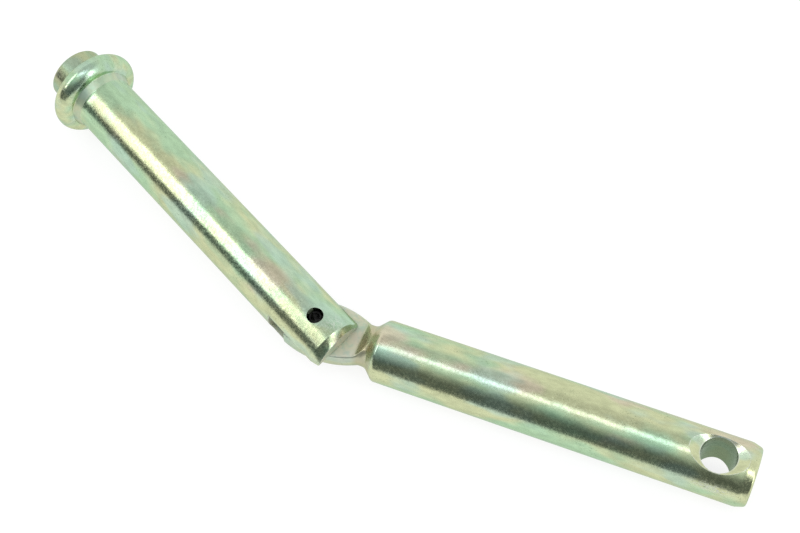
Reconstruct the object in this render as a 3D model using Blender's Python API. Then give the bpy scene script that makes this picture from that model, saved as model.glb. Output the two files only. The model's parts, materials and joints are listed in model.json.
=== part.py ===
"""Axle hinge pin: a round steel bar in two halves that fold about a knuckle.

The head half is one forged and turned piece: a short stub, a half-round collar, the shank, and
at its other end a slot with one long cheek over it and a short lip under it. The tail half is one
turned piece: a flat tongue that stands in the slot, a neck, the shank and a countersunk cross hole
for a linch pin. A slotted roll pin through the cheek and the tongue is the hinge.

Each half is made in its own frame with the hinge at the origin: +X runs along its shank, away from
the hinge, and +Z is the hinge axis. The whole then lies on the floor as it comes to rest, on its
collar and along the tail half. Lengths are in metres, angles in degrees.
"""
import math

import bmesh
import bpy
from mathutils import Euler, Matrix, Vector

# The bar that both halves are turned from
BAR_DIAMETER = 0.0222
ROUND_SEGMENTS = 64          # facets round a turned piece
ARC_STEP = 15.0              # largest turn of one facet along a rounded corner
CREASE_ANGLE = 35.0          # edges sharper than this stay crisp in the shading
MERGE_DISTANCE = 1e-6        # corners closer than this are one
FULL_ROUND = 0.999           # share of the largest radius that a full round takes, so its ends stay apart
RUNNING_GAP = 0.0003         # clearance on each side of what fits or slides

# Head half: stub, collar and shank
COLLAR_CENTRE = 0.1332       # hinge to the middle of the collar
COLLAR_WIDTH = 0.0082
COLLAR_DIAMETER = 0.0340
COLLAR_FLARE_LENGTH = 0.0034 # the shank widens over this length before it meets the collar
COLLAR_FLARE_HEIGHT = 0.0014
COLLAR_FLARE_RADIUS = 0.0060 # how softly the widening starts
COLLAR_FILLET = 0.0003       # where the collar's face meets the widened shank
STUB_LENGTH = 0.0083
STUB_ROOT_DIAMETER = 0.0221
STUB_END_DIAMETER = 0.0213
STUB_EDGE_RADIUS = 0.0011
STUB_FILLET = 0.0006

# Fork at the end of the head half
SLOT_DEPTH = 0.0135          # hinge to the floor of the slot
CHEEK_REACH = 0.0115         # hinge to the middle of the long cheek's end
CHEEK_SKEW = 6.3             # the cheek's end leans this far off square
CHEEK_CHAMFER_LENGTH = 0.0022
CHEEK_CROWN_DEPTH = 0.0028   # the chamfer is deep on the crown
CHEEK_SIDE_DEPTH = 0.0005    # and fades towards the sides
LIP_SETBACK = 0.0060         # the short lip stops this far before the hinge

# Tail half: tongue, neck, shank and end
TONGUE_THICKNESS = 0.0070
TONGUE_DIAMETER = 0.0210     # the barrel that the two flats are milled on, at its widest
TONGUE_BULGE = 0.0033        # hinge to the widest place of the barrel
TONGUE_BARREL_RADIUS = 0.0340
TONGUE_REACH = 0.0095        # hinge to the square end of the tongue
TONGUE_EDGE_RADIUS = 0.0003
BARREL_STEPS = 14            # straight lengths that the barrel's curve is made of
NECK_DIAMETER = 0.0148
NECK_FILLET = 0.0028
NECK_LENGTH = 0.0027158      # from the barrel to the foot of the cone, before the fillets
SHOULDER_SLOPE = 45.0
SHOULDER_EDGE_RADIUS = 0.0020
FLAT_LENGTH = 0.0167         # hinge to where the flats begin to run out
FLAT_RUN_OUT_SLOPE = 50.0    # how steeply the wall at the end of a flat climbs
FLAT_RUN_OUT_RADIUS = 0.0006
TAIL_LENGTH = 0.1552         # hinge to the free end
TAIL_CHAMFER_LENGTH = 0.0036
TAIL_CHAMFER_DEPTH = 0.0011
TAIL_EDGE_RADIUS = 0.0006

# Cross hole near the free end
CROSS_HOLE_DIAMETER = 0.0124
CROSS_HOLE_FROM_END = 0.0131
COUNTERSINK_DIAMETER = 0.0204
COUNTERSINK_ANGLE = 120.0    # between opposite sides of the cone

# Slotted roll pin that the halves turn on
ROLL_PIN_DIAMETER = 0.0050
ROLL_PIN_WALL = 0.0009
ROLL_PIN_GAP = 0.0008
ROLL_PIN_RECESS = 0.0014     # below the crown of the cheek
ROLL_PIN_CHAMFER = 0.0004
ROLL_PIN_FACETS = 30

# Pose
REST_BEND = 27.7             # between the two shanks, 0 when they are in line

BAR_RADIUS = BAR_DIAMETER / 2
SLOT_WIDTH = TONGUE_THICKNESS + 2 * RUNNING_GAP
HINGE_HOLE_RADIUS = ROLL_PIN_DIAMETER / 2 + RUNNING_GAP
REACH_PAST = BAR_DIAMETER    # how far a cutter runs past the bar

ZINC = (0.52, 0.56, 0.43)
ZINC_ROUGHNESS = 0.3
BLACK_STEEL = (0.015, 0.016, 0.015)
BLACK_STEEL_ROUGHNESS = 0.5


def clear_scene():
    """Take away whatever the scene holds."""
    for thing in list(bpy.data.objects):
        bpy.data.objects.remove(thing, do_unlink=True)


def metal(name, colour, roughness):
    """A plain metal with one colour."""
    material = bpy.data.materials.new(name)
    material.use_nodes = True
    shader = material.node_tree.nodes["Principled BSDF"]
    shader.inputs["Base Color"].default_value = (*colour, 1)
    shader.inputs["Metallic"].default_value = 1.0
    shader.inputs["Roughness"].default_value = roughness
    return material


def rounded(corners):
    """Points along straight runs between (x, y, fillet radius) corners, each corner an arc."""
    points = []
    last = len(corners) - 1
    for i, (x, y, radius) in enumerate(corners):
        here = Vector((x, y))
        if i in (0, last) or radius <= 0:
            points.append(here)
            continue
        back = (Vector(corners[i - 1][:2]) - here).normalized()
        ahead = (Vector(corners[i + 1][:2]) - here).normalized()
        half = back.angle(ahead) / 2
        turn = math.pi - 2 * half
        centre = here + (back + ahead).normalized() * radius / math.sin(half)
        start = here + back * radius / math.tan(half) - centre
        steps = max(2, math.ceil(math.degrees(turn) / ARC_STEP))
        side = math.copysign(1, back.x * ahead.y - back.y * ahead.x)
        for k in range(steps + 1):
            points.append(centre + Matrix.Rotation(-side * turn * k / steps, 2) @ start)
    return points


def new_object(name, mesh_builder, parent=None):
    """Link an object for a finished bmesh, with its normals facing out."""
    bmesh.ops.recalc_face_normals(mesh_builder, faces=mesh_builder.faces)
    mesh = bpy.data.meshes.new(name)
    mesh_builder.to_mesh(mesh)
    mesh_builder.free()
    thing = bpy.data.objects.new(name, mesh)
    bpy.context.collection.objects.link(thing)
    thing.parent = parent
    return thing


def turned(name, profile, parent=None, axis="X"):
    """Spin a profile of (distance along the axis, radius) points, which starts and ends on the axis."""
    work = bmesh.new()
    verts = [work.verts.new((p[0], p[1], 0)) for p in profile]
    edges = [work.edges.new(pair) for pair in zip(verts, verts[1:])]
    bmesh.ops.spin(work, geom=verts + edges, cent=(0, 0, 0), axis=(1, 0, 0), dvec=(0, 0, 0),
                   angle=math.tau, steps=ROUND_SEGMENTS, use_merge=False)
    bmesh.ops.remove_doubles(work, verts=work.verts, dist=MERGE_DISTANCE)
    if axis == "Z":
        upright = Matrix.Rotation(-math.pi / 2, 3, "Y")
        bmesh.ops.rotate(work, verts=work.verts, cent=(0, 0, 0), matrix=upright)
    return new_object(name, work, parent)


def block(name, low, high, parent):
    """A box between two corners."""
    work = bmesh.new()
    bmesh.ops.create_cube(work, size=1)
    low, high = Vector(low), Vector(high)
    for vert in work.verts:
        vert.co = (low + high) / 2 + vert.co * (high - low)
    return new_object(name, work, parent)


def cut(body, cutter):
    """Take a cutter's shape out of a body, and keep the cutter as a hidden guide."""
    cutter.hide_render = True
    cutter.display_type = "WIRE"
    modifier = body.modifiers.new(cutter.name, "BOOLEAN")
    modifier.operation = "DIFFERENCE"
    modifier.solver = "EXACT"
    modifier.object = cutter


def finish(body, material):
    """Give a body its metal and smooth shading with crisp edges."""
    body.data.materials.append(material)
    body.data.shade_smooth()
    body.data.set_sharp_from_angle(angle=math.radians(CREASE_ANGLE))


def drill(name, start, parent):
    """A hinge-hole drill along +Z, from a start height to well past the bar."""
    radius = HINGE_HOLE_RADIUS
    outline = [(start, 0), (start, radius), (REACH_PAST, radius), (REACH_PAST, 0)]
    return turned(name, outline, parent, "Z")


def lean_end(body):
    """Fade the fork's chamfer towards the sides, and lean its end face so that +Y is the long side."""
    crown = BAR_RADIUS - CHEEK_CROWN_DEPTH
    for vert in body.data.vertices:
        if vert.co.x < MERGE_DISTANCE - CHEEK_REACH:
            height = vert.co.z / crown
            radius = BAR_RADIUS - CHEEK_SIDE_DEPTH - (CHEEK_CROWN_DEPTH - CHEEK_SIDE_DEPTH) * height ** 2
            vert.co.y *= radius / crown
            vert.co.z *= radius / crown
            vert.co.x -= vert.co.y * math.tan(math.radians(CHEEK_SKEW))


def head_rod(parent, material):
    """Stub, collar, shank and fork, in one piece."""
    collar_radius = COLLAR_DIAMETER / 2
    collar_near = COLLAR_CENTRE - COLLAR_WIDTH / 2
    collar_far = COLLAR_CENTRE + COLLAR_WIDTH / 2
    bead = COLLAR_WIDTH / 2 * FULL_ROUND
    stub_end = collar_far + STUB_LENGTH
    profile = rounded([
        (-CHEEK_REACH, 0, 0),
        (-CHEEK_REACH, BAR_RADIUS - CHEEK_CROWN_DEPTH, 0),
        (-CHEEK_REACH + CHEEK_CHAMFER_LENGTH, BAR_RADIUS, 0),
        (collar_near - COLLAR_FLARE_LENGTH, BAR_RADIUS, COLLAR_FLARE_RADIUS),
        (collar_near, BAR_RADIUS + COLLAR_FLARE_HEIGHT, COLLAR_FILLET),
        (collar_near, collar_radius, bead),
        (collar_far, collar_radius, bead),
        (collar_far, STUB_ROOT_DIAMETER / 2, STUB_FILLET),
        (stub_end, STUB_END_DIAMETER / 2, STUB_EDGE_RADIUS),
        (stub_end, 0, 0),
    ])
    body = turned("head_rod", profile, parent)
    lean_end(body)
    far = REACH_PAST
    open_end = -CHEEK_REACH - far
    slot_low = (open_end, -far, -SLOT_WIDTH / 2)
    slot_high = (SLOT_DEPTH, far, SLOT_WIDTH / 2)
    cut(body, block("slot_cutter", slot_low, slot_high, body))
    cut(body, block("lip_cutter", (open_end, -far, -far), (LIP_SETBACK, far, 0), body))
    cut(body, drill("head_hinge_hole", 0, body))
    finish(body, material)
    return body


def flat_cutter(name, side, parent):
    """What a milling cutter takes off one side of the tongue: flat, with a sloping wall at its far end."""
    far = REACH_PAST
    start = -TONGUE_REACH - far
    flat = side * TONGUE_THICKNESS / 2
    wall = (far - TONGUE_THICKNESS / 2) / math.tan(math.radians(FLAT_RUN_OUT_SLOPE))
    outline = rounded([
        (start, flat, 0),
        (FLAT_LENGTH, flat, FLAT_RUN_OUT_RADIUS),
        (FLAT_LENGTH + wall, side * far, 0),
        (start, side * far, 0),
    ])
    work = bmesh.new()
    near_face = work.faces.new([work.verts.new((p.x, -far, p.y)) for p in outline])
    side_walls = bmesh.ops.extrude_face_region(work, geom=[near_face])["geom"]
    far_verts = [part for part in side_walls if isinstance(part, bmesh.types.BMVert)]
    bmesh.ops.translate(work, verts=far_verts, vec=(0, 2 * far, 0))
    return new_object(name, work, parent)


def cross_hole_spool(parent):
    """The cross hole and its two countersinks as one spool along Z."""
    far = REACH_PAST
    bore = CROSS_HOLE_DIAMETER / 2
    mouth = COUNTERSINK_DIAMETER / 2
    slope = math.tan(math.radians(COUNTERSINK_ANGLE / 2))
    bore_end = BAR_RADIUS - (mouth - bore) / slope
    wide = bore + (far - bore_end) * slope
    upper_half = [(bore_end, bore), (far, wide), (far, 0)]
    lower_half = [(-height, radius) for height, radius in reversed(upper_half)]
    return turned("cross_hole", lower_half + upper_half, parent, "Z")


def barrel_corner(x, fillet=0):
    """A corner of the tail's outline on the barrel that the tongue is milled from."""
    fall = TONGUE_BARREL_RADIUS - math.sqrt(TONGUE_BARREL_RADIUS ** 2 - (x - TONGUE_BULGE) ** 2)
    return (x, TONGUE_DIAMETER / 2 - fall, fillet)


def tail_rod(parent, material):
    """Tongue, neck, shank and cross hole, in one piece."""
    neck = NECK_DIAMETER / 2
    drop = TONGUE_DIAMETER / 2 - neck
    neck_x = TONGUE_BULGE + math.sqrt(drop * (2 * TONGUE_BARREL_RADIUS - drop))
    cone_x = neck_x + NECK_LENGTH
    shoulder_x = cone_x + (BAR_RADIUS - neck) / math.tan(math.radians(SHOULDER_SLOPE))
    step = (neck_x + TONGUE_REACH) / BARREL_STEPS
    barrel = [barrel_corner(-TONGUE_REACH + step * k) for k in range(1, BARREL_STEPS)]
    profile = rounded([
        (-TONGUE_REACH, 0, 0),
        barrel_corner(-TONGUE_REACH, TONGUE_EDGE_RADIUS),
        *barrel,
        (neck_x, neck, NECK_FILLET),
        (cone_x, neck, NECK_FILLET),
        (shoulder_x, BAR_RADIUS, SHOULDER_EDGE_RADIUS),
        (TAIL_LENGTH - TAIL_CHAMFER_LENGTH, BAR_RADIUS, TAIL_EDGE_RADIUS),
        (TAIL_LENGTH, BAR_RADIUS - TAIL_CHAMFER_DEPTH, TAIL_EDGE_RADIUS),
        (TAIL_LENGTH, 0, 0),
    ])
    body = turned("tail_rod", profile, parent)
    for name, side in (("upper_flat_cutter", 1), ("lower_flat_cutter", -1)):
        cut(body, flat_cutter(name, side, body))
    cut(body, drill("tail_hinge_hole", -REACH_PAST, body))
    spool = cross_hole_spool(body)
    spool.location.x = TAIL_LENGTH - CROSS_HOLE_FROM_END
    cut(body, spool)
    finish(body, material)
    return body


def roll_pin(parent, material):
    """Slotted roll pin: a rolled strip with an open seam, chamfered at both ends."""
    outer = ROLL_PIN_DIAMETER / 2
    inner = outer - ROLL_PIN_WALL
    top = BAR_RADIUS - ROLL_PIN_RECESS
    bottom = -TONGUE_THICKNESS / 2 + RUNNING_GAP

    def section(work, height, outside):
        """One ring of corners round the rolled strip: out along the outer arc, back along the inner."""
        ring = []
        for radius, order in ((outside, 1), (inner, -1)):
            seam = math.asin(ROLL_PIN_GAP / 2 / radius)
            sweep = math.tau - 2 * seam
            for k in range(ROLL_PIN_FACETS + 1)[::order]:
                angle = seam + sweep * k / ROLL_PIN_FACETS
                x, y = radius * math.cos(angle), radius * math.sin(angle)
                ring.append(work.verts.new((x, y, height)))
        return ring

    work = bmesh.new()
    rings = [section(work, height, outside) for height, outside in (
        (bottom, outer - ROLL_PIN_CHAMFER), (bottom + ROLL_PIN_CHAMFER, outer),
        (top - ROLL_PIN_CHAMFER, outer), (top, outer - ROLL_PIN_CHAMFER))]
    for low, high in zip(rings, rings[1:]):
        for i, corner in enumerate(low):
            j = (i + 1) % len(low)
            work.faces.new((corner, low[j], high[j], high[i]))
    # Each end is a strip of four-sided faces between the outer and the inner arc
    count = 2 * (ROLL_PIN_FACETS + 1)
    for ring in (rings[0], rings[-1]):
        for k in range(ROLL_PIN_FACETS):
            work.faces.new((ring[k], ring[k + 1], ring[count - 2 - k], ring[count - 1 - k]))
    body = new_object("roll_pin", work, parent)
    finish(body, material)
    return body


def lying_tilt():
    """The roll about the tail half's axis that lets the larger collar and the tail share one floor.

    The collar's ring of half-round edge is a torus. Its lowest point is on the floor when
    bar + reach * w = edge + ring * sqrt(1 - w * w), with w the sine of the head half's own climb.
    """
    edge = COLLAR_WIDTH / 2
    ring = COLLAR_DIAMETER / 2 - edge
    rise = BAR_RADIUS - edge
    square = COLLAR_CENTRE ** 2 + ring ** 2
    half = rise * COLLAR_CENTRE
    w = (math.sqrt(half ** 2 - square * (rise ** 2 - ring ** 2)) - half) / square
    return math.asin(w / math.sin(math.radians(REST_BEND)))


def seat_on_floor(root, bodies):
    """Move the whole so that its box stands on the floor, centred on the origin."""
    bpy.context.view_layer.update()
    graph = bpy.context.evaluated_depsgraph_get()
    points = []
    for body in bodies:
        solid = body.evaluated_get(graph)
        points += [solid.matrix_world @ vert.co for vert in solid.data.vertices]
    low = Vector([min(p[i] for p in points) for i in range(3)])
    high = Vector([max(p[i] for p in points) for i in range(3)])
    root.location -= Vector(((low.x + high.x) / 2, (low.y + high.y) / 2, low.z))
    bpy.context.view_layer.update()


def main():
    clear_scene()
    zinc = metal("zinc_plate", ZINC, ZINC_ROUGHNESS)
    black = metal("black_spring_steel", BLACK_STEEL, BLACK_STEEL_ROUGHNESS)
    root = bpy.data.objects.new("hinge_on_floor", None)
    bpy.context.collection.objects.link(root)
    root.rotation_euler = Euler((lying_tilt(), 0, 0))
    head = head_rod(root, zinc)
    head.rotation_euler = Euler((0, 0, math.pi - math.radians(REST_BEND)))
    tail = tail_rod(root, zinc)
    pin = roll_pin(root, black)
    seat_on_floor(root, (head, tail, pin))


main()
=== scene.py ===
# %% [markdown]
# # A folding hinge pin in zinc-plated steel
#
# The pin is a round bar in two halves. The head half has a stub, a collar and a slotted fork; the
# tail half has a flat tongue, a neck and a drilled end. A slotted roll pin joins them. This script
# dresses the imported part: it makes each piece again with fine surfaces, gives it its plating, and
# lights it on a pale table.

# %% Load the part
import json
import math

import bmesh
import bpy
import numpy as np
from mathutils import Matrix, Vector


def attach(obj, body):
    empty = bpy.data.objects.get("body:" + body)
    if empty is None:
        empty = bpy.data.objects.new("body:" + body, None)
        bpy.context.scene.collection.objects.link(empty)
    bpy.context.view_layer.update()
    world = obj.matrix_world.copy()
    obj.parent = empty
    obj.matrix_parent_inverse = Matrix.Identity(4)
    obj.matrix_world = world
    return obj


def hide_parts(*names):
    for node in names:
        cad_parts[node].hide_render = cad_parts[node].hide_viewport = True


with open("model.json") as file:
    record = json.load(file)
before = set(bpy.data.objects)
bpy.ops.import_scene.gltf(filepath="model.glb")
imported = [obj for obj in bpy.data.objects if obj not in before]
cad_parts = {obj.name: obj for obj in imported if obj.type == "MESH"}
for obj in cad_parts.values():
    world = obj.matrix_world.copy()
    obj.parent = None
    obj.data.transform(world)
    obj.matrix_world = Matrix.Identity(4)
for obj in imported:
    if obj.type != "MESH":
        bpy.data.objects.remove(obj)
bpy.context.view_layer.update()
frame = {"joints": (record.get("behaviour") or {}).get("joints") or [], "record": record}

# %% [markdown]
# ## Where things are
#
# The record gives the hinge and the two end faces. From these follow one set of axes for each half:
# the hinge is its origin, +X runs along the shank and +Z is the hinge axis. Every shape below is
# worked out in those axes, as a turner would draw it, and is then carried to its place at once. The
# pieces could also be modelled flat and turned as objects, but the export wants every object at the
# origin, with its place in its mesh.

# %% Axes of the two halves
MM = 0.001
hinge = frame["joints"][0]
HINGE = np.array(hinge["pos_m"])
HINGE_AXIS = np.array(hinge["axis"]) / np.linalg.norm(hinge["axis"])
ends = {mount["name"]: mount for mount in frame["record"]["mounts"]}


def half_axes(end_name):
    """The 3 x 3 axes of a half, as columns, and its length from the hinge to its end face."""
    end = ends[end_name]
    along = np.array(end["axis"]) / np.linalg.norm(end["axis"])
    across = np.cross(HINGE_AXIS, along)
    length = float(np.dot(np.array(end["pos_m"]) - HINGE, along))
    return np.column_stack([along, across, HINGE_AXIS]), length


HEAD_AXES, HEAD_LENGTH = half_axes("stub_end")
TAIL_AXES, TAIL_LENGTH = half_axes("tail_end")
print(f"hinge to stub end {HEAD_LENGTH / MM:.1f} mm, hinge to free end {TAIL_LENGTH / MM:.1f} mm")

# %% [markdown]
# ## Turned surfaces
#
# Nearly every face of this pin comes off a lathe, so nearly every shape here is one outline
# carried round one axis. An outline is written as a few corners. Each corner has a fillet, and
# each straight run is split into short lengths where detail or a later cut needs them. Cylinder
# and cone primitives would be quicker, but they leave sharp rims that catch no light.

# %% Outline of a turned piece
ARC_STEP = math.radians(9)             # largest turn from one point of a fillet to the next
FINE, MEDIUM, COARSE = 0.3 * MM, 0.5 * MM, 2.0 * MM    # lengths that a run is split into
WHOLE = 1.0                            # longer than any run, which then stays in one length


def fillet_arc(before, corner, after, radius):
    """Points of the arc of this radius that touches both runs at a corner.

    With 2h the angle between the runs, the centre lies on the line that halves it, radius / sin h
    from the corner. The arc starts radius / tan h before the corner and turns by pi - 2h.
    """
    back, ahead = np.array(before) - corner, np.array(after) - corner
    back, ahead = back / np.linalg.norm(back), ahead / np.linalg.norm(ahead)
    half = math.acos(np.clip(back @ ahead, -1, 1)) / 2
    turn = math.pi - 2 * half
    inward = (back + ahead) / np.linalg.norm(back + ahead)
    centre = corner + inward * radius / math.sin(half)
    start = corner + back * radius / math.tan(half) - centre
    angle = np.linspace(0, turn, max(3, math.ceil(turn / ARC_STEP) + 1))[:, None]
    return centre + np.cos(angle) * start - np.sin(angle) * back * radius


def outline(corners):
    """Points (distance, radius) of an outline, as an array.

    A corner is (distance, radius, fillet, step). The run that leads to the corner is split into
    lengths of at most step.
    """
    points = [np.array(corners[0][:2])]
    for before, here, after in zip(corners, corners[1:], corners[2:] + [None]):
        corner, fillet, step = np.array(here[:2]), here[2], here[3]
        if after is None or fillet == 0:
            arc = corner[None]
        else:
            arc = fillet_arc(before[:2], corner, after[:2], fillet)
        run = arc[0] - points[-1]
        count = max(1, math.ceil(np.linalg.norm(run) / step))
        share = np.arange(1, count)[:, None] / count
        points.extend(points[-1] + share * run)
        points.extend(arc)
    return np.array(points)


square = fillet_arc((1, 0), np.zeros(2), (0, 1), 0.5)
print("a fillet in a square corner has", len(square), "points")


# %% [markdown]
# ## From a grid to a solid
#
# A mesh is a list of points and a list of faces. When the points form a grid, the faces follow from
# their numbers alone: each joins a point to its neighbour in the row and to the two points of the
# next row. The last column meets the first, and what lies at one place is merged, so a ring that
# shrinks to a point becomes a closed pole.

# %% Mesh from a grid of points
MERGE = 0.001 * MM                     # points closer than this are one
SOFT_EDGE = 0.6 * MM                   # over this length a flat rounds off into the bar


def tidy_mesh(mesh):
    """Close seams and poles by merging what lies at one place, and turn every face outwards."""
    work = bmesh.new()
    work.from_mesh(mesh)
    bmesh.ops.remove_doubles(work, verts=work.verts, dist=MERGE)
    bmesh.ops.dissolve_degenerate(work, edges=work.edges, dist=MERGE / 10)
    bmesh.ops.recalc_face_normals(work, faces=work.faces)
    work.to_mesh(mesh)
    work.free()


def show(name, data):
    """An object at the origin, unturned, that holds a mesh, a lamp or a lens."""
    shown = bpy.data.objects.new(name, data)
    bpy.context.scene.collection.objects.link(shown)
    return shown


def solid(name, grid, axes, centre=HINGE):
    """A closed piece from a grid of points (rows, columns, 3) whose columns go round and meet.

    A point p on the axes goes to centre + x * first axis + y * second axis + z * third axis.
    """
    rows, columns = grid.shape[:2]
    index = np.arange(rows * columns).reshape(rows, columns)
    beside = np.roll(index, -1, axis=1)
    quads = np.stack([index[:-1], beside[:-1], beside[1:], index[1:]], axis=-1).reshape(-1, 4)
    mesh = bpy.data.meshes.new(name)
    mesh.from_pydata(centre + grid.reshape(-1, 3) @ axes.T, [], quads)
    tidy_mesh(mesh)
    return show(name, mesh)


def turned(points, columns, keep=None):
    """Carry an outline round the first axis: P(s, a) = (s, r cos a, r sin a).

    keep(s) is the half thickness left between two milled flats, so a flat lies f = keep / |sin a|
    from the axis. The radius is the smaller of r and f with a round edge of softness c:
    (r + f - sqrt((r - f)^2 + c^2)) / 2.
    """
    angle = np.arange(columns) * math.tau / columns
    s, radius = points[:, :1], points[:, 1:]
    r = radius * np.ones_like(angle)
    if keep is not None:
        flat = keep(s) / np.maximum(np.abs(np.sin(angle)), 1e-6)
        r = np.where(radius > 0, (r + flat - np.sqrt((r - flat) ** 2 + SOFT_EDGE ** 2)) / 2, 0)
    return np.stack([s * np.ones_like(angle), r * np.cos(angle), r * np.sin(angle)], axis=-1)


def stacked(rings):
    """A grid from rings of (x, y) points, each at its own height."""
    return np.stack([np.column_stack([ring, np.full(len(ring), z)]) for ring, z in rings])


# %% [markdown]
# ## Drills and milling cutters
#
# The holes, the slot and the ends of the fork were cut with tools, and the script does the same: a
# tool is a solid of its own, and a Boolean takes it away. The grid under each cut is fine, so that
# the cut leaves no long thin faces that would shade unevenly.

# %% Cutting
CUTTER_STEP = 2 * FINE
DRILL_COLUMNS, CROSS_DRILL_COLUMNS = 96, 160


def cut(piece, cutter):
    """Take the cutter's solid out of the piece, keep the result as its mesh, drop the cutter."""
    boolean = piece.modifiers.new("cut", "BOOLEAN")
    boolean.operation, boolean.solver, boolean.object = "DIFFERENCE", "EXACT", cutter
    bpy.context.view_layer.update()
    result = piece.evaluated_get(bpy.context.evaluated_depsgraph_get())
    mesh = bpy.data.meshes.new_from_object(result)
    piece.modifiers.clear()
    piece.data = mesh
    bpy.data.objects.remove(cutter)
    tidy_mesh(mesh)


def drill(name, points, axes, columns=DRILL_COLUMNS, centre=HINGE):
    """A cutter turned about the hinge axis: its outline is a list of (height, radius)."""
    upright = np.column_stack([axes[:, 2], axes[:, 0], axes[:, 1]])
    run = outline([(*point, 0, CUTTER_STEP) for point in points])
    return solid(name, turned(run, columns), upright, centre)


def milled(name, corners, low, high, axes):
    """A cutter whose closed outline on the first two axes is carried along the third.

    Each end closes on the middle of the outline, like the segments of an orange.
    """
    loop = outline(corners + corners[:1])[:-1]
    middle = np.broadcast_to(loop.mean(axis=0), loop.shape)
    across = np.linspace(low, high, math.ceil((high - low) / CUTTER_STEP))
    rings = [(middle, low), *((loop, place) for place in across), (middle, high)]
    return solid(name, stacked(rings), axes)


# %% [markdown]
# ## The head half
#
# One blank is turned with the stub, the half-round collar and the chamfered fork end. Then the slot
# is milled, the lower cheek is cut back to a short lip, and the upper cheek is sawn off a few
# degrees out of square, as on the real pin. The chamfer of the cheek was ground by hand: it is deep
# on the crown and fades towards the sides. A turned chamfer would be even all round, so the points
# of the blank's end are moved by a formula instead.

# %% Sizes of the bar and the head half
BAR = 11.1 * MM                        # radius of both shanks
FAR = 2 * BAR                          # how far a cutter reaches past the bar
TONGUE = 7.0 * MM                      # thickness between the two flats
GAP = 0.3 * MM                         # clearance on each side of the tongue
SLOT = TONGUE / 2 + GAP                # half the width of the slot
HEAD_COLUMNS, TAIL_COLUMNS = 224, 256

STUB, STUB_ROOT, STUB_TIP = 8.3 * MM, 11.05 * MM, 10.65 * MM
STUB_FILLET, STUB_EDGE = 0.6 * MM, 1.1 * MM
COLLAR, COLLAR_HALF_WIDTH = 17.0 * MM, 4.1 * MM
COLLAR_CENTRE = HEAD_LENGTH - STUB - COLLAR_HALF_WIDTH
FULL_ROUND = 0.999                     # share of the half width that the bead's fillets take
FLARE, FLARE_HEIGHT, FLARE_CURVE, FLARE_FILLET = 3.4 * MM, 1.4 * MM, 6 * MM, 0.25 * MM
CHEEK_REACH, CHEEK_SKEW = 11.5 * MM, math.tan(math.radians(6.3))
CHAMFER, CHAMFER_EDGE, CROWN_DEPTH, SIDE_DEPTH = 2.2 * MM, 0.5 * MM, 2.8 * MM, 0.5 * MM
GRINDING = 1.2                         # above 1 the ground face starts gently
SLOT_FLOOR, SLOT_CORNER, LIP_END = 13.5 * MM, 0.35 * MM, 6.0 * MM
HEAD_HOLE = 2.95 * MM
print(f"a slot of {2 * SLOT / MM:.1f} mm for a tongue of {TONGUE / MM:.1f} mm,",
      f"facets of {math.tau * BAR / HEAD_COLUMNS / MM:.2f} mm round the bar")


# %% Head half
def head_blank():
    """The turned blank, from the fork's end to the stub's end."""
    near, far = COLLAR_CENTRE - COLLAR_HALF_WIDTH, COLLAR_CENTRE + COLLAR_HALF_WIDTH
    bead = FULL_ROUND * COLLAR_HALF_WIDTH
    points = outline([
        (-CHEEK_REACH, 0, 0, WHOLE),
        (-CHEEK_REACH, BAR - SIDE_DEPTH, 0, FINE),
        (-CHEEK_REACH + CHAMFER, BAR, CHAMFER_EDGE, FINE / 2),
        (SLOT_FLOOR + COARSE, BAR, 0, FINE),
        (near - FLARE, BAR, FLARE_CURVE, COARSE),
        (near, BAR + FLARE_HEIGHT, FLARE_FILLET, FINE),
        (near, COLLAR, bead, FINE),
        (far, COLLAR, bead, WHOLE),
        (far, STUB_ROOT, STUB_FILLET, FINE),
        (HEAD_LENGTH, STUB_TIP, STUB_EDGE, MEDIUM),
        (HEAD_LENGTH, 0, 0, COARSE),
    ])
    return solid("head_bar", ground_end(turned(points, HEAD_COLUMNS)), HEAD_AXES)


def ground_end(grid):
    """The fork's end as ground by hand, with t from 0 where the chamfer starts to 1 at the end.

    A radius shrinks by the share t (crown - side) sin^2 a / (R - side), and the end leans out of
    square by moving s to s - t r cos a tan k.
    """
    s, y, z = (grid[..., i] for i in range(3))
    t = np.clip((CHAMFER - CHEEK_REACH - s) / CHAMFER, 0, 1) ** GRINDING
    radius = np.maximum(np.hypot(y, z), 1e-9)
    share = t * (CROWN_DEPTH - SIDE_DEPTH) / (BAR - SIDE_DEPTH)
    scale = 1 - share * (z / radius) ** 2
    return np.stack([s - t * y * scale * CHEEK_SKEW, y * scale, z * scale], axis=-1)


def head_half():
    """The blank less the slot, less the lower cheek past the lip, less the hinge hole."""
    piece = head_blank()
    side_on = HEAD_AXES[:, [0, 2, 1]]
    slot = [(-FAR, -SLOT, 0, WHOLE), (SLOT_FLOOR, -SLOT, SLOT_CORNER, CUTTER_STEP),
            (SLOT_FLOOR, SLOT, SLOT_CORNER, CUTTER_STEP), (-FAR, SLOT, 0, CUTTER_STEP)]
    lip = [(-FAR, -FAR, 0, WHOLE), (LIP_END, -FAR, 0, WHOLE),
           (LIP_END, 0, 0, CUTTER_STEP), (-FAR, 0, 0, WHOLE)]
    for name, section in (("slot", slot), ("lip", lip)):
        cut(piece, milled(name, section, -FAR, FAR, side_on))
    cut(piece, drill("hole", [(0, 0), (0, HEAD_HOLE), (FAR, HEAD_HOLE), (FAR, 0)], HEAD_AXES))
    return piece


head = head_half()
print("head half", len(head.data.polygons), "faces")

# %% [markdown]
# ## The tail half
#
# The tongue is two flats on a turned blank, and that needs no cutter. Along the bar the flats leave
# a half thickness that stays even and then runs out on a sloping wall. At each point the surface is
# the nearer of the blank and the flat. The blank under the tongue is not straight but bulges like a
# barrel, and a neck and a short cone lead from it to the shank. The cross hole near the free end
# is drilled and countersunk at both mouths, by one spool-shaped cutter.

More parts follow.
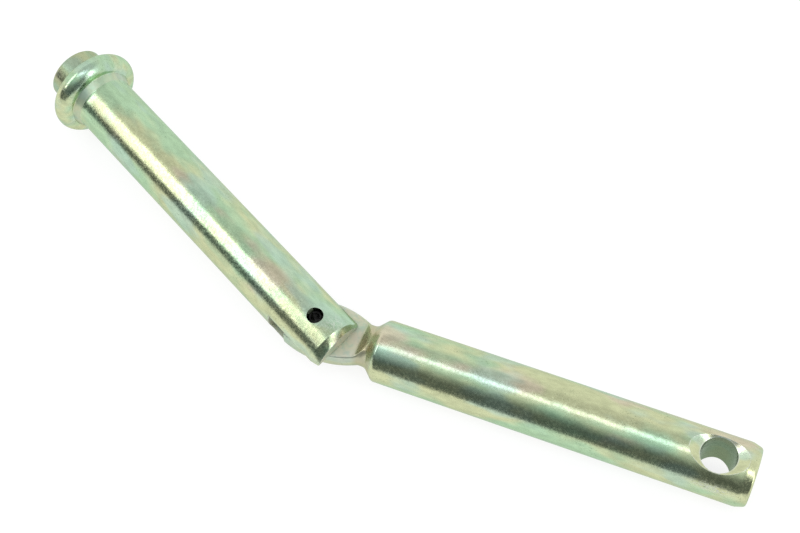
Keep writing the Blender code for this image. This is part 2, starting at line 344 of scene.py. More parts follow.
# %% Sizes of the tail half
BARREL, BULGE, BARREL_CURVE = 10.5 * MM, 3.3 * MM, 34.0 * MM
BARREL_POINTS = 40
TONGUE_END, TONGUE_EDGE, TONGUE_DROP = 9.5 * MM, 0.3 * MM, 0.2 * MM
NECK, NECK_CURVE = 7.4 * MM, 2.8 * MM
FOOT_CURVE = 0.6 * NECK_CURVE          # where the barrel runs into the neck
SHOULDER, SHOULDER_EDGE = 23.9 * MM, 2.0 * MM
NECK_END = SHOULDER - (BAR - NECK)     # the cone climbs at 45 degrees from here to the shoulder
FLAT_LENGTH, WALL_SLOPE, WALL_FOOT = 16.7 * MM, math.tan(math.radians(50)), 0.6 * MM
TAIL_CHAMFER, TAIL_CHAMFER_DEPTH = 3.6 * MM, 1.1 * MM
TAIL_CURVE, TAIL_EDGE = 4.0 * MM, 1.2 * MM
FINE_END = 27 * MM                     # from here to the free end the grid is fine
TAIL_HOLE = 2.8 * MM
CROSS_HOLE, CROSS_HOLE_FROM_END = 6.2 * MM, 13.1 * MM
MOUTH, LOWER_MOUTH = 10.2 * MM, 6.8 * MM
MOUTH_SLOPE = math.tan(math.radians(60))
print(f"straight length {(HEAD_LENGTH + TAIL_LENGTH) / MM:.1f} mm,",
      f"cross hole {2 * CROSS_HOLE / MM:.1f} mm, {CROSS_HOLE_FROM_END / MM:.1f} mm from the end")


# %% Tail half
def flats(s):
    """Half the thickness that the flats leave: even, then a wall that climbs out of the bar.

    With x the distance past the end of the flat it is t + slope (x + sqrt(x^2 + c^2)) / 2, where c
    rounds the foot of the wall.
    """
    past = s - FLAT_LENGTH
    return TONGUE / 2 + WALL_SLOPE * (past + np.sqrt(past ** 2 + WALL_FOOT ** 2)) / 2


def barrel():
    """Corners along the barrel, and where it meets the neck.

    The radius is r(s) = r0 - (R - sqrt(R^2 - (s - s0)^2)), an arc of radius R that is widest at s0.
    """
    drop = BARREL - NECK
    foot = BULGE + math.sqrt(drop * (2 * BARREL_CURVE - drop))
    s = np.linspace(-TONGUE_END, foot, BARREL_POINTS)[1:-1]
    r = BARREL - BARREL_CURVE + np.sqrt(BARREL_CURVE ** 2 - (s - BULGE) ** 2)
    return [(place, radius, 0, FINE) for place, radius in zip(s, r)], foot


def spool():
    """(height, radius) of the cross hole's cutter: a bore that widens to a cone at each mouth.

    A mouth is as wide as given where it meets the crown, so its cone starts (mouth - bore) / slope
    below the crown.
    """
    top, foot = (BAR - (mouth - CROSS_HOLE) / MOUTH_SLOPE for mouth in (MOUTH, LOWER_MOUTH))
    wide_top, wide_foot = (CROSS_HOLE + (FAR - start) * MOUTH_SLOPE for start in (top, foot))
    return [(-FAR, 0), (-FAR, wide_foot), (-foot, CROSS_HOLE),
            (top, CROSS_HOLE), (FAR, wide_top), (FAR, 0)]


def tail_half():
    """The blank with its flats, less the hinge hole and the cross hole."""
    curve, foot = barrel()
    points = outline([
        (-TONGUE_END, 0, 0, WHOLE),
        (-TONGUE_END, curve[0][1] - TONGUE_DROP, TONGUE_EDGE, FINE),
        *curve,
        (foot, NECK, FOOT_CURVE, FINE / 2),
        (NECK_END, NECK, NECK_CURVE, FINE / 2),
        (SHOULDER, BAR, SHOULDER_EDGE, FINE / 2),
        (TAIL_LENGTH - FINE_END, BAR, 0, COARSE),
        (TAIL_LENGTH - TAIL_CHAMFER, BAR, TAIL_CURVE, FINE),
        (TAIL_LENGTH, BAR - TAIL_CHAMFER_DEPTH, TAIL_EDGE, FINE / 2),
        (TAIL_LENGTH, 0, 0, COARSE),
    ])
    piece = solid("tail_bar", turned(points, TAIL_COLUMNS, flats), TAIL_AXES)
    cut(piece, drill("hole", [(-FAR, 0), (-FAR, TAIL_HOLE), (FAR, TAIL_HOLE), (FAR, 0)], TAIL_AXES))
    place = HINGE + TAIL_AXES[:, 0] * (TAIL_LENGTH - CROSS_HOLE_FROM_END)
    cut(piece, drill("cross_hole", spool(), TAIL_AXES, CROSS_DRILL_COLUMNS, place))
    return piece


tail = tail_half()
print("tail half", len(tail.data.polygons), "faces")

# %% [markdown]
# ## The roll pin
#
# A roll pin is spring strip rolled into a tube with an open seam. Its section is a ring with a gap,
# and both ends are chamfered so that it starts into its hole. A curve with a bevel could make the
# tube, but six rings of one section give the seam, the wall and both chamfers at once.

# %% Roll pin
PIN, PIN_WALL, PIN_SEAM = 2.5 * MM, 0.9 * MM, math.radians(18)
PIN_TOP, PIN_FOOT, PIN_CHAMFER = BAR - 1.4 * MM, -TONGUE / 2 + GAP, 0.4 * MM
PIN_ARC_POINTS = 60


def roll_pin():
    """P(u, z): u goes out along the outer arc and back along the inner one, z climbs the pin.

    The radius is R on the way out and R - wall on the way back. The ends close on the middle of
    the wall, and there the outer arc is drawn in by the chamfer.
    """
    sweep = np.linspace(PIN_SEAM / 2, math.tau - PIN_SEAM / 2, PIN_ARC_POINTS)
    angle = np.concatenate([sweep, sweep[::-1]])[:, None]
    outside = np.repeat([[1.0], [0.0]], PIN_ARC_POINTS, axis=0)
    section = np.hstack([np.cos(angle), np.sin(angle)])
    middle = PIN - PIN_WALL / 2
    full = PIN - PIN_WALL * (1 - outside)
    end = full - PIN_CHAMFER * outside
    rings = [(middle, PIN_FOOT), (end, PIN_FOOT), (full, PIN_FOOT + PIN_CHAMFER),
             (full, PIN_TOP - PIN_CHAMFER), (end, PIN_TOP), (middle, PIN_TOP)]
    return solid("roll_pin_tube", stacked([(r * section, z) for r, z in rings]), HEAD_AXES)


pin = roll_pin()
print("roll pin", len(pin.data.polygons), "faces")

# %% [markdown]
# ## Marks that the finish follows
#
# Plating does not look the same everywhere. It is satin where the bar was turned, dull where a
# cutter left fine grooves and thin on the corners. The holes are darkened as painted shade, and
# the sharp corners are lightened partly as worn film and partly as a painted highlight. Each piece
# therefore carries a few attributes, numbers that a material can read: where a point lies on its
# own bar, which faces were milled or bored, and which corners are sharp. A picture could carry
# the same marks, but it would need an unwrapped surface, and a test on each face's place is exact.

# %% Milled and bored faces
FACING = 0.9                           # share of a face's normal along an axis that it faces
NEAR = 0.05 * MM                       # slack when a face's place is tested
GROUND_DULL, GROUND_WIDTH = 0.3, 6.5 * MM
FLARE_DULL, STUB_DULL, STUB_DARK = 0.6, 0.1, 0.4
WALL_DULL, ROOT_DULL = 0.25, 0.5
PIVOT_REACH, CROSS_REACH = 1.02, 1.01  # a bore's faces lie within this share of its radius


def faces_of(mesh, axes):
    """Middles and normals of all faces on the axes of a half."""
    middle, normal = np.empty((2, 3 * len(mesh.polygons)))
    mesh.polygons.foreach_get("center", middle)
    mesh.polygons.foreach_get("normal", normal)
    return ((middle.reshape(-1, 3) - HINGE) @ axes).T, (normal.reshape(-1, 3) @ axes).T


def head_marks(mesh):
    """How milled and how bored each face of the head half is, from 0 to 1.

    Milled: the slot's walls and floor and the ends of both cheeks, then the ground chamfer and the
    dull flare. Bored: the hinge hole, which the material darkens as painted shade, and in part the
    stub, whose film is darker.
    """
    (x, y, z), (nx, ny, nz) = faces_of(mesh, HEAD_AXES)
    wall = (abs(nz) > FACING) & (abs(z) < SLOT + NEAR) & (x < SLOT_FLOOR)
    floor = (abs(x - SLOT_FLOOR) < SLOT_CORNER + NEAR) & (abs(z) < SLOT)
    cheek_ends = (nx < -FACING) & (x < LIP_END + 2 * NEAR)
    ground = (x < CHAMFER - CHEEK_REACH) & (abs(z) < GROUND_WIDTH)
    narrow = np.hypot(y, z) < BAR + FLARE_HEIGHT
    flare = narrow & (x > COLLAR_CENTRE - COLLAR_HALF_WIDTH - FLARE) & (x < COLLAR_CENTRE)
    stub = narrow & (x > COLLAR_CENTRE)
    bore = (np.hypot(x, y) < PIVOT_REACH * HEAD_HOLE) & (abs(nz) < 0.5) & (z > 0)
    dull = np.maximum.reduce([wall | floor | cheek_ends, GROUND_DULL * ground,
                              FLARE_DULL * flare, STUB_DULL * stub])
    return dull, np.maximum(bore, STUB_DARK * stub)


def tail_marks(mesh):
    """How milled and how bored each face of the tail half is, from 0 to 1.

    Milled: the flats and the tongue's end, then all that was turned down before the cone, and
    least of all the wall at the end of each flat. Bored: the hinge hole and the cross hole,
    which the material darkens as painted shade.
    """
    (x, y, z), (nx, ny, nz) = faces_of(mesh, TAIL_AXES)
    flat = (abs(nz) > FACING) & (abs(z) < TONGUE / 2 + 4 * NEAR) & (x < FLAT_LENGTH + 10 * NEAR)
    tongue_end = (nx < -0.95) & (x < 0)
    wall = (nx < -0.5) & (abs(nz) > 0.5) & (x > FLAT_LENGTH) & (x < NECK_END + 4 * NEAR)
    dull = np.where(wall, WALL_DULL, np.maximum(flat | tongue_end, ROOT_DULL * (x < NECK_END)))
    pivot = np.hypot(x, y) < PIVOT_REACH * TAIL_HOLE
    cross = np.hypot(x - TAIL_LENGTH + CROSS_HOLE_FROM_END, y) < CROSS_REACH * CROSS_HOLE
    return dull, (pivot | cross) & (abs(nz) < 0.5)


def pin_marks(mesh):
    """The roll pin is black all over: nothing is milled or bored."""
    nothing = np.zeros(len(mesh.polygons))
    return nothing, nothing


# %% [markdown]
# ## Marks of use, the brown neck and painted edge highlights
#
# The neck is tinted brown, darker than the film around it. The free end and the cheek were knocked
# about and show bare scratches. A corner loses its film first, since it takes every knock, and the
# same light colour on sharp edges also serves as a painted highlight. The film also runs down as
# the part hangs to dry, so it is thicker on one side of a bar, and for that each point carries how
# far down it hung. All this could be painted on by hand, but a formula for each mark keeps its
# place and its size in plain sight.

# %% Corners, the brown neck and scuffs
CREASE = math.radians(28)              # edges sharper than this stay crisp
TINT_START, TINT_FADE_IN = 15.5 * MM, 2 * MM
TINT_END, TINT_FADE_OUT = 23.4 * MM, MM
SCUFFS = {                             # place, reach along each axis, strength
    "tail_half": [((142.5 * MM, -10.0 * MM, 4.6 * MM), (5.5 * MM, 2.4 * MM, 1.6 * MM), 1.2)],
    "head_half": [((-6.5 * MM, -2.5 * MM, 10.5 * MM), (3.0 * MM, 3.5 * MM, 3.0 * MM), 0.5)],
}


def mark(mesh, name, values, domain="FACE"):
    """Store one number for each face, or for each point, under a name."""
    numbers = mesh.attributes.new(name, "FLOAT", domain)
    numbers.data.foreach_set("value", np.asarray(values, dtype=np.float32))


def sharp_corners(mesh):
    """1 at both ends of every sharp edge, 0 elsewhere."""
    pairs = np.empty(2 * len(mesh.edges), dtype=np.int32)
    mesh.edges.foreach_get("vertices", pairs)
    sharp = np.zeros(len(mesh.edges), dtype=bool)
    if "sharp_edge" in mesh.attributes:
        mesh.attributes["sharp_edge"].data.foreach_get("value", sharp)
    corners = np.zeros(len(mesh.vertices))
    corners[pairs.reshape(-1, 2)[sharp]] = 1
    return corners


def neck_tinted(x):
    """Rises from 0 to 1 at the neck's start and falls back to 0 at the shoulder."""
    rise = np.clip((x - TINT_START) / TINT_FADE_IN, 0, 1)
    return rise * np.clip((TINT_END - x) / TINT_FADE_OUT, 0, 1)


def scuffed(local, body):
    """The sum of strength * exp(-|(p - place) / reach|^2) over the scuffs of a half."""
    return sum(strength * np.exp(-np.sum(((local - place) / reach) ** 2, axis=1))
               for place, reach, strength in SCUFFS[body])


# %% Finish a piece
def finish_piece(piece, axes, material, marks, bath_down, body, cad_node):
    """Smooth shading with crisp edges, the attributes, the material and the place in the frame.

    bath_down is the way that hung down in the bath: a point's share of it is (p . down) / R.
    """
    mesh = piece.data
    mesh.shade_smooth()
    mesh.set_sharp_from_angle(angle=CREASE)
    places = np.empty(3 * len(mesh.vertices))
    mesh.vertices.foreach_get("co", places)
    local = (places.reshape(-1, 3) - HINGE) @ axes
    on_bar = mesh.attributes.new("bar", "FLOAT_VECTOR", "POINT")
    on_bar.data.foreach_set("vector", local.astype(np.float32).ravel())
    dull, bored = marks(mesh)
    corners = sharp_corners(mesh)
    mark(mesh, "milled", dull)
    mark(mesh, "bored", bored)
    mark(mesh, "drained", np.clip(local @ np.array(bath_down) / BAR, -1, 1), "POINT")
    mark(mesh, "corner", corners, "POINT")
    mark(mesh, "neck_tint", neck_tinted(local[:, 0]) * (body == "tail_half"), "POINT")
    mark(mesh, "scuffed", scuffed(local, body), "POINT")
    mesh.materials.clear()
    mesh.materials.append(material)
    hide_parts(cad_node)
    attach(piece, body)
    print(cad_node, "milled faces", np.count_nonzero(dull), "bored", np.count_nonzero(bored),
          "corner points", np.count_nonzero(corners))


# %% [markdown]
# ## Small words for node trees
#
# A node tree is a calculation. These helpers let it be written like one: each takes numbers,
# colours or the outputs of other nodes, and gives back an output. The materials work in
# millimetres along and across the bar, so the scale of a noise is in waves per millimetre.

# %% Joining nodes
def put(tree, socket, value):
    """Link another node's output to a socket, or set the socket to a plain value."""
    if isinstance(value, bpy.types.NodeSocket):
        tree.links.new(value, socket)
    else:
        socket.default_value = value


def node(tree, kind, settings=None, **inputs):
    """Add a node. From_Min=... sets or links the input called From Min."""
    made = tree.nodes.new("ShaderNode" + kind)
    for name, value in (settings or {}).items():
        setattr(made, name, value)
    for name, value in inputs.items():
        put(tree, made.inputs[name.replace("_", " ")], value)
    return made


def maths(tree, operation, *values):
    """One sum: MULTIPLY_ADD takes a, b, c and gives a * b + c."""
    made = node(tree, "Math", {"operation": operation})
    for socket, value in zip(made.inputs, values):
        put(tree, socket, value)
    return made.outputs[0]


def blend(tree, factor, a, b, how="MIX"):
    """Colour a at factor 0, colour b at factor 1."""
    made = node(tree, "Mix", {"data_type": "RGBA", "blend_type": how})
    for index, value in ((0, factor), (6, a), (7, b)):
        put(tree, made.inputs[index], value)
    return made.outputs[2]


def grey(tree, level):
    """A grey of this level."""
    return node(tree, "CombineColor", Red=level, Green=level, Blue=level).outputs[0]


# %% Patterns and places
def noise(tree, place, scale, detail=2.0, roughness=0.5):
    """A soft random number from 0 to 1 that changes over 1 / scale."""
    made = node(tree, "TexNoise", Vector=place, Scale=scale, Detail=detail, Roughness=roughness)
    return made.outputs["Fac"]


def fade(tree, value, start, end, low=0.0, high=1.0):
    """start..end becomes low..high along an S curve."""
    made = node(tree, "MapRange", {"interpolation_type": "SMOOTHSTEP"},
                Value=value, From_Min=start, From_Max=end, To_Min=low, To_Max=high)
    return made.outputs["Result"]


def stretched(tree, place, scale, move=(0, 0, 0)):
    """place * scale + move, so that one noise gives patterns that don't coincide."""
    made = node(tree, "Mapping", Vector=place, Scale=scale, Location=move)
    return made.outputs["Vector"]


def moved(tree, place, move):
    """The same place in another part of a noise."""
    return stretched(tree, place, (1, 1, 1), move)


def attribute(tree, name, output="Fac"):
    """An attribute of the mesh: a number, or a place with output Vector."""
    return node(tree, "Attribute", {"attribute_name": name}).outputs[output]


def in_millimetres(tree):
    """The place on the bar, in millimetres."""
    return stretched(tree, attribute(tree, "bar", "Vector"), (1 / MM, 1 / MM, 1 / MM))


# %% Groups and materials
def new_group(name, inputs, outputs):
    """A node group with its sockets. Gives the tree, its input node and its output node."""
    tree = bpy.data.node_groups.new(name, "ShaderNodeTree")
    for in_out, sockets in (("INPUT", inputs), ("OUTPUT", outputs)):
        for socket, kind in sockets.items():
            tree.interface.new_socket(socket, in_out=in_out, socket_type="NodeSocket" + kind)
    return tree, tree.nodes.new("NodeGroupInput"), tree.nodes.new("NodeGroupOutput")


def new_material(name):
    """A material with nodes. Gives it, its tree and its shader."""
    material = bpy.data.materials.new(name)
    material.use_nodes = True
    tree = material.node_tree
    return material, tree, tree.nodes["Principled BSDF"]


# %% [markdown]
# ## The passivate film
#
# Bare zinc goes dull in days, so plated parts are dipped in a chromate-free passivate. The film is
# a fraction of a micrometre thick and shows thin-film colours: mostly grey-green, with patches of
# yellow, rose and blue where it is thicker or thinner. The colour could be computed from the
# thickness of the film, but a few blended colours are easier to match to the real part.

# %% Colours of the film
GREEN = (0.44, 0.63, 0.41, 1)
STRAW = (0.59, 0.63, 0.38, 1)
ROSE = (0.65, 0.57, 0.44, 1)
BLUE = (0.46, 0.63, 0.52, 1)


def film_colour():
    """Group: the place in mm and how far down it hung in the bath, to a colour."""
    tree, given, result = new_group(
        "film_colour", {"Place": "Vector", "Drained": "Float"}, {"Color": "Color"})
    place = stretched(tree, given.outputs["Place"], (0.4, 1, 1))    # patches run along the bar
    drained = given.outputs["Drained"]
    warm = noise(tree, place, scale=0.055, detail=3.0, roughness=0.6)
    warm = maths(tree, "MULTIPLY_ADD", drained, 0.12, warm)
    colour = blend(tree, fade(tree, warm, 0.42, 0.58), GREEN, STRAW)
    sunk = noise(tree, moved(tree, place, (31, 7, 3)), scale=0.085, detail=2.5)
    sunk = maths(tree, "MULTIPLY_ADD", drained, 0.16, sunk)
    colour = blend(tree, fade(tree, sunk, 0.54, 0.68, high=0.75), colour, ROSE)
    cool = noise(tree, moved(tree, place, (5, 47, 19)), scale=0.11)
    colour = blend(tree, fade(tree, cool, 0.50, 0.66, high=0.65), colour, BLUE)
    mottle = noise(tree, place, scale=0.45, detail=4.0, roughness=0.65)
    shade = grey(tree, fade(tree, mottle, 0.3, 0.7, low=0.88, high=1.08))
    put(tree, result.inputs["Color"], blend(tree, 1.0, colour, shade, "MULTIPLY"))
    return tree


FILM = film_colour()
print("film group", len(FILM.nodes), "nodes")

# %% [markdown]
# ## The grain of the zinc
#
# Under the film the zinc is a fine mottle of crystals a millimetre or less across, on soft waves
# left by the drawing of the bar and faint rings left by the lathe. It breaks up every reflection,
# and more so than a plain roughness would: the reflections of the lamps end in specks. Real relief
# this fine would take millions of faces, so a bump from three noises does it. The roll pin's black
# oxide sits on the same kind of surface, so the grain is a group that both materials use.

# %% Grain
CRYSTAL_HEIGHT, WAVE_HEIGHT, RING_HEIGHT = 0.020, 0.05, 0.006    # mm


def zinc_grain():
    """Group: the place in mm, to a height in mm and a share of extra roughness."""
    tree, given, result = new_group(
        "zinc_grain", {"Place": "Vector"}, {"Height": "Float", "Grain": "Float"})
    place = given.outputs["Place"]
    crystals = noise(tree, place, scale=1.1, detail=3.0, roughness=0.65)
    waves = noise(tree, place, scale=0.22)
    rings = noise(tree, stretched(tree, place, (2.4, 0.06, 0.06)), scale=1.0, roughness=0.6)
    height = maths(tree, "MULTIPLY", waves, WAVE_HEIGHT)
    height = maths(tree, "MULTIPLY_ADD", crystals, CRYSTAL_HEIGHT, height)
    height = maths(tree, "MULTIPLY_ADD", rings, RING_HEIGHT, height)
    put(tree, result.inputs["Height"], height)
    put(tree, result.inputs["Grain"], fade(tree, crystals, 0.35, 0.7))
    return tree


GRAIN = zinc_grain()
print("grain group", len(GRAIN.nodes), "nodes")

# %% [markdown]
# ## Zinc-plated steel
#
# The material lays its colours over the film one by one, in this order: dark specks from the bath,
# the beige of milled faces, bare metal and a painted highlight on corners, a brown tint in the
# neck, painted shade in the bores, and scratches last. Milled and scratched places are also
# rougher and less of a mirror. Each could be a material of its own with faces assigned to it, but
# then no mark could fade out.

# %% Zinc material
SPECK_AND_BORE_SHADE = (0.105, 0.165, 0.09, 1)        # also the painted shade down in a bore
NECK_BROWN = (0.46, 0.38, 0.20, 1)
MILLED = (0.68, 0.62, 0.50, 1)
SMEAR = (0.50, 0.56, 0.47, 1)
# bare zinc for scuffs and worn corners, and also a painted highlight along sharp edges
BARE_AND_GLINT = (0.70, 0.75, 0.66, 1)
EDGE_TINT = (0.72, 0.78, 0.70, 1)      # what the metal reflects at a grazing view
SPECKS_SHOW, BEIGE_SHOWS, NECK_BROWN_SHOWS, BORE_SHADE_SHOWS = 0.6, 0.6, 0.5, 0.82
ZINC_ROUGHNESS, GRAIN_ROUGHNESS, DULL_ROUGHNESS = 0.17, 0.16, 0.6


def times(tree, amount, *masks):
    """The masks and the amount multiplied."""
    for mask in masks:
        amount = maths(tree, "MULTIPLY", mask, amount)
    return amount


def zinc_colour(tree, place, colour, scuffs):
    """The film's colour with specks, milled faces, corners (wear and painted highlight), brown
    neck, painted bore shade and scuffs over it.
    """
    specks = fade(tree, noise(tree, place, scale=1.7, roughness=0.6), 0.60, 0.72)
    patches = noise(tree, moved(tree, place, (3, 3, 60)), scale=0.11, detail=3.0, roughness=0.6)
    patches = maths(tree, "MAXIMUM", fade(tree, patches, 0.5, 0.62), attribute(tree, "scuffed"))
    colour = blend(tree, times(tree, SPECKS_SHOW, specks, patches), colour, SPECK_AND_BORE_SHADE)
    smears = noise(tree, moved(tree, place, (9, 2, 5)), scale=0.4, detail=4.0, roughness=0.65)
    beige = blend(tree, fade(tree, smears, 0.42, 0.62), MILLED, SMEAR)
    bared = maths(tree, "POWER", attribute(tree, "milled"), 1.5)
    colour = blend(tree, times(tree, BEIGE_SHOWS, bared), colour, beige)
    # Sharp corners are lightened: partly film worn off, partly a painted highlight on the edges.
    nicks_and_glints = fade(tree, noise(tree, place, scale=0.9, roughness=0.6), 0.35, 0.6, low=0.3, high=0.9)
    colour = blend(tree, maths(tree, "MULTIPLY", attribute(tree, "corner"), nicks_and_glints), colour, BARE_AND_GLINT)
    colour = blend(tree, times(tree, NECK_BROWN_SHOWS, attribute(tree, "neck_tint")), colour, NECK_BROWN)
    # Painted shade: the bores' walls are darkened towards the speck colour; the stub takes part of
    # this mark as its darker film.
    colour = blend(tree, times(tree, BORE_SHADE_SHOWS, attribute(tree, "bored")), colour, SPECK_AND_BORE_SHADE)
    return blend(tree, scuffs, colour, BARE_AND_GLINT)


def zinc_plate():
    """The whole finish of both halves."""
    material, tree, shader = new_material("zinc_passivate")
    place = in_millimetres(tree)
    film = node(tree, "Group", {"node_tree": FILM}, Place=place, Drained=attribute(tree, "drained"))
    grain = node(tree, "Group", {"node_tree": GRAIN}, Place=place)
    lines = stretched(tree, place, (0.5, 1, 2.2))
    scratches = fade(tree, noise(tree, lines, scale=1.6, detail=3.0, roughness=0.7), 0.48, 0.56)
    scuffs = maths(tree, "MULTIPLY", attribute(tree, "scuffed"), scratches)
    dull = maths(tree, "MAXIMUM", attribute(tree, "milled"), scuffs)
    rough = maths(tree, "MULTIPLY_ADD", grain.outputs["Grain"], GRAIN_ROUGHNESS, ZINC_ROUGHNESS)
    rough = maths(tree, "MAXIMUM", rough, times(tree, DULL_ROUGHNESS, dull))
    bump = node(tree, "Bump", Height=grain.outputs["Height"], Distance=MM)
    colour = zinc_colour(tree, place, film.outputs["Color"], scuffs)
    put(tree, shader.inputs["Base Color"], colour)
    put(tree, shader.inputs["Metallic"], maths(tree, "MULTIPLY_ADD", dull, -0.5, 1.0))
    put(tree, shader.inputs["Roughness"], rough)
    put(tree, shader.inputs["Normal"], bump.outputs["Normal"])
    shader.inputs["Specular Tint"].default_value = EDGE_TINT
    return material


# %% [markdown]
# ## Black spring steel
#
# Roll pins are hardened and come black from the oil bath. Down in its hole this one is nearly
# lost, and only its rim and its open seam catch a little light. A flat black would look like a
# hole in the picture, so it stays a metal with the same grain.

# %% Black oxide material
OXIDE, WORN_OXIDE = (0.012, 0.012, 0.012, 1), (0.035, 0.036, 0.034, 1)


def black_oxide():
    """A dark metal, a little paler and rougher on the grain's peaks."""
    material, tree, shader = new_material("black_oxide")
    grain = node(tree, "Group", {"node_tree": GRAIN}, Place=in_millimetres(tree))
    peaks = grain.outputs["Grain"]
    bump = node(tree, "Bump", Height=grain.outputs["Height"], Distance=MM)
    put(tree, shader.inputs["Base Color"], blend(tree, peaks, OXIDE, WORN_OXIDE))
    put(tree, shader.inputs["Roughness"], maths(tree, "MULTIPLY_ADD", peaks, 0.2, 0.4))
    put(tree, shader.inputs["Normal"], bump.outputs["Normal"])
    shader.inputs["Metallic"].default_value = 1.0
    return material


# %% Finish the three pieces
zinc, black = zinc_plate(), black_oxide()
finish_piece(head, HEAD_AXES, zinc, head_marks, (-0.06, 0.6, 0), "head_half", "head_rod")
finish_piece(tail, TAIL_AXES, zinc, tail_marks, (0, 0.4, 0), "tail_half", "tail_rod")
finish_piece(pin, HEAD_AXES, black, pin_marks, (0, -1, 0), "head_half", "roll_pin")

# %% [markdown]
# ## The table
#
# The pin lies on a table that looks plain white and still takes a soft shadow. White paint under
# these lamps would also light the pin from below, so the paint is grey, and a glow is added that
# only the camera and the mirror-like metal see.

# %% Table
TABLE_SIZE = 6.0
PAINT, PAINT_ROUGHNESS, GLOW = (0.22, 0.22, 0.22, 1), 0.9, 0.82


def sheet(name, grid):
    """An open piece of the stage from a grid of points (rows, columns, 3)."""
    index = np.arange(grid.shape[0] * grid.shape[1]).reshape(grid.shape[:2])
    corners = [index[:-1, :-1], index[:-1, 1:], index[1:, 1:], index[1:, :-1]]
    mesh = bpy.data.meshes.new(name)
    mesh.from_pydata(grid.reshape(-1, 3), [], np.stack(corners, axis=-1).reshape(-1, 4))
    piece = show(name, mesh)
    return piece


def white_table():
    """Grey paint plus a glow that is switched on by the kind of ray that sees it."""
    material, tree, shader = new_material("white_table")
    shader.inputs["Base Color"].default_value = PAINT
    shader.inputs["Roughness"].default_value = PAINT_ROUGHNESS
    shader.inputs["Specular IOR Level"].default_value = 0.0
    ray = node(tree, "LightPath").outputs
    seen = maths(tree, "ADD", ray["Is Camera Ray"], ray["Is Glossy Ray"])
    seen = maths(tree, "ADD", seen, ray["Is Transmission Ray"])
    glow = node(tree, "Emission", Color=seen, Strength=GLOW)
    both = node(tree, "AddShader")
    put(tree, both.inputs[0], shader.outputs[0])
    put(tree, both.inputs[1], glow.outputs[0])
    put(tree, tree.nodes["Material Output"].inputs["Surface"], both.outputs[0])
    return material


half = TABLE_SIZE / 2
top = sheet("table_top", np.array([[(-half, -half, 0), (half, -half, 0)],
                                   [(-half, half, 0), (half, half, 0)]]))
top.data.materials.append(white_table())
print("table", TABLE_SIZE, "m square")

# %% [markdown]
# ## Light
#
# Polished metal shows its surroundings, so lighting it means choosing what it mirrors. A soft dome
# lights everything, and three soft boxes give the long highlights: one for the head half, one for
# the tail half and one from the side. A picture of a studio could be wrapped round the scene
# instead, but then no lamp could be moved alone. A lamp is described here by how bright it looks,
# and its power follows from its size.

# %% Dome
world = bpy.data.worlds.new("studio")
bpy.context.scene.world = world
world.use_nodes = True
sky = world.node_tree
climb = node(sky, "SeparateXYZ", Vector=node(sky, "TexCoord").outputs["Generated"]).outputs["Z"]
dome = fade(sky, climb, 0.72, 0.9, low=1.0, high=0.71)    # a little darker overhead
put(sky, sky.nodes["Background"].inputs["Color"], grey(sky, dome))


# %% Soft boxes
def soft_box(name, place, target, size, along, brightness, colour=(1, 1, 1)):
    """A flat lamp of a given brightness: its power is brightness * pi * width * length.

    Its second side points along the given direction as nearly as the aim allows.
    """
    lamp = bpy.data.lights.new(name, "AREA")
    lamp.shape, lamp.size, lamp.size_y = "RECTANGLE", size[0], size[1]
    lamp.energy = brightness * math.pi * size[0] * size[1]
    lamp.color = colour
    box = show(name, lamp)
    back = (Vector(place) - Vector(target)).normalized()
    side = Vector(along).cross(back).normalized()
    box.location = place
    box.rotation_euler = Matrix((side, back.cross(side), back)).transposed().to_euler()
    print(name, f"{lamp.energy:.2f} W")


soft_box("head_soft_box", (-0.97, -0.44, 0.91), (-0.06, 0, 0), size=(0.36, 0.90),
         along=(0.265, 0.458, 0.397), brightness=2.6)
soft_box("tail_soft_box", (0.0, -0.25, 1.2), (0.06, -0.03, 0), size=(0.8, 0.30),
         along=(0, 1, 0), brightness=1.8, colour=(0.77, 0.81, 1.0))
soft_box("side_soft_box", (1.10, -0.34, 0.68), (0.05, 0, 0), size=(0.30, 1.2),
         along=(0, 0, 1), brightness=2.2)

# %% [markdown]
# ## Cards that only the metal sees
#
# A bar lit from all round looks flat. In a studio a dark flag is put in front of it, and its
# mirror image draws the dark line that makes the bar look round and hard. Here a tall flag is bent
# round the front of the table and pales upwards, so that the dark line ends softly towards the
# crown. A low card close to the bar adds the dark foot of the tail half. They neither light nor
# shade anything, and the camera doesn't see them.

# %% Cards
CARD_TINT = np.array((0.92, 1.06, 1.08))


def tinted(level):
    """The cards' slightly cool grey."""
    return (*(CARD_TINT * level), 1)


def hide_from_light(card):
    """Leave the card to reflections alone."""
    card.visible_camera = card.visible_diffuse = card.visible_shadow = False


def glowing(name, colour_of):
    """A material that shows one colour as it is; colour_of(tree) gives a colour or an output."""
    material, tree, _ = new_material(name)
    tree.nodes.clear()
    glow = node(tree, "Emission", Color=colour_of(tree))
    node(tree, "OutputMaterial", Surface=glow.outputs[0])
    return material


# %% Front flag
FLAG_RADIUS, FLAG_HEIGHT, FLAG_SWEEP = 1.5, (0, 66), (-165, -30)    # metres, degrees
FLAG_COLUMNS, FLAG_ROWS = 33, 17
FLAG_GREYS = ((0, 0.12), (28, 0.135), (44, 0.36), (65, 0.9))        # degrees up, grey


def graded(tree):
    """A grey that follows the height z over the flag's radius, which is the sine of the angle."""
    z = node(tree, "SeparateXYZ", Vector=node(tree, "TexCoord").outputs["Object"]).outputs["Z"]
    height = node(tree, "MapRange", Value=z, From_Max=FLAG_RADIUS).outputs["Result"]
    ramp = node(tree, "ValToRGB", Fac=height)
    stops = ramp.color_ramp.elements
    while len(stops) < len(FLAG_GREYS):
        stops.new(0.5)
    for stop, (angle, level) in zip(stops, FLAG_GREYS):
        stop.position, stop.color = math.sin(math.radians(angle)), tinted(level)
    return ramp.outputs["Color"]


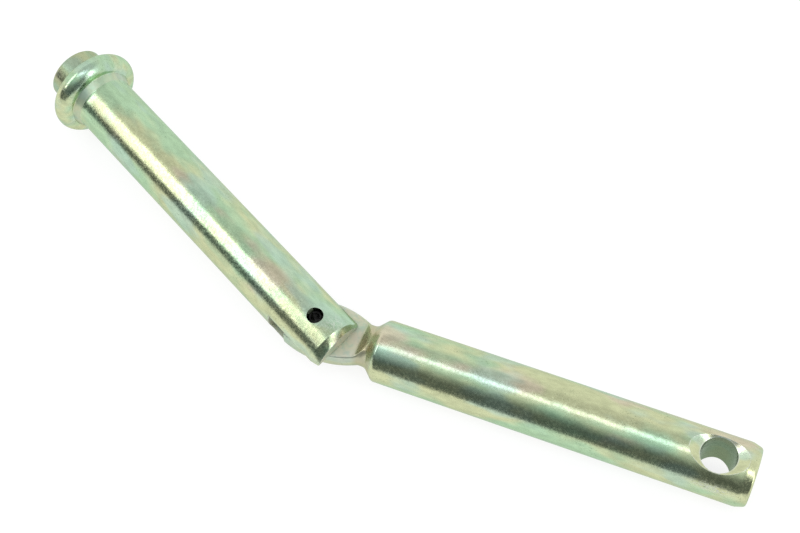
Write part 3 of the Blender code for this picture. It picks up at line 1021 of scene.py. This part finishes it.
def front_flag():
    """P(a, e) = radius (cos a cos e, sin a cos e, sin e), part of a sphere round the table."""
    azimuth, height = np.meshgrid(np.radians(np.linspace(*FLAG_SWEEP, FLAG_COLUMNS)),
                                  np.radians(np.linspace(*FLAG_HEIGHT, FLAG_ROWS)))
    grid = FLAG_RADIUS * np.stack([np.cos(azimuth) * np.cos(height),
                                   np.sin(azimuth) * np.cos(height), np.sin(height)], axis=-1)
    flag = sheet("front_flag", grid)
    flag.data.materials.append(glowing("front_flag", graded))
    return flag


hide_from_light(front_flag())
print("front flag", FLAG_SWEEP[1] - FLAG_SWEEP[0], "degrees round,", FLAG_HEIGHT[1], "degrees high")

# %% Low card
CARD_START, CARD_END, CARD_FRONT, CARD_HEIGHT = -0.02, 0.30, -0.112, 0.022
CARD_GREY = 0.14
card = sheet("table_edge", np.array([[(x, CARD_FRONT, z) for x in (CARD_START, CARD_END)]
                                     for z in (0, CARD_HEIGHT)]))
card.data.materials.append(glowing("table_edge", lambda tree: tinted(CARD_GREY)))
hide_from_light(card)
print("low card", f"{(CARD_END - CARD_START) / MM:.0f} mm long")

# %% [markdown]
# ## Camera
#
# The camera stands to the front right and looks steeply down, as in the photo. It could be placed
# by eye, but a fit to the outlines of the pin gives its place, its roll and its lens at once. The
# lens comes out in pixels of the picture and is turned into millimetres for a 36 mm sensor.

# %% Camera
TARGET = (0.0063, 0.00294, 0.0111)
AZIMUTH, ELEVATION, ROLL = math.radians(-67.78), math.radians(57.47), math.radians(-0.81)
DISTANCE, FOCAL_PIXELS, PICTURE_WIDTH = 0.5559, 1563.0, 800
SENSOR = 36.0

flat_part = math.cos(ELEVATION)
towards = Vector((math.cos(AZIMUTH) * flat_part, math.sin(AZIMUTH) * flat_part,
                  math.sin(ELEVATION)))
lens = bpy.data.cameras.new("camera")
lens.sensor_width, lens.lens = SENSOR, FOCAL_PIXELS / PICTURE_WIDTH * SENSOR
camera = show("camera", lens)
camera.location = Vector(TARGET) + DISTANCE * towards
level = towards.to_track_quat("Z", "Y")
camera.rotation_euler = (level @ Matrix.Rotation(ROLL, 3, "Z").to_quaternion()).to_euler()
bpy.context.scene.camera = camera
bpy.context.scene.view_settings.view_transform = "Standard"
print(f"lens {lens.lens:.1f} mm")
